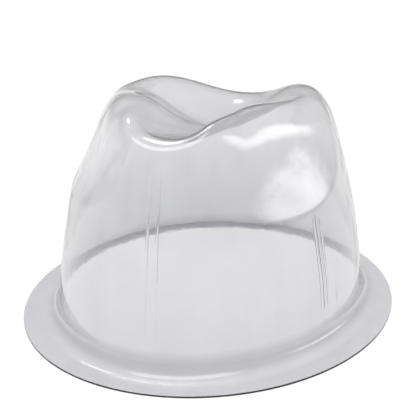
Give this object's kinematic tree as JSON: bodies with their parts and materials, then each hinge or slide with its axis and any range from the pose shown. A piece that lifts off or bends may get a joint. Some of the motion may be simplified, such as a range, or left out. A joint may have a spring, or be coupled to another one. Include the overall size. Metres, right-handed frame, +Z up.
{
  "type": "hat form",
  "caption": "Clear vacuum-formed hat form: tapered oval crown with a creased top, front pinches and a flat flange to stand on.",
  "frame": {"origin": "centre of the form's footprint, on the plane that the flange stands on", "axes": "+Z up through the crown; the brow with its two pinches faces -Y and the back faces +Y; +X is the wearer's left"},
  "size_m": [0.1998, 0.2346, 0.1186],
  "materials": {
    "clear_sheet": "clear, glossy, with a faint cool tint and shallow draw lines"
  },
  "bodies": {
    "root": {"formed_sheet": "clear_sheet"}
  },
  "joints": []
}
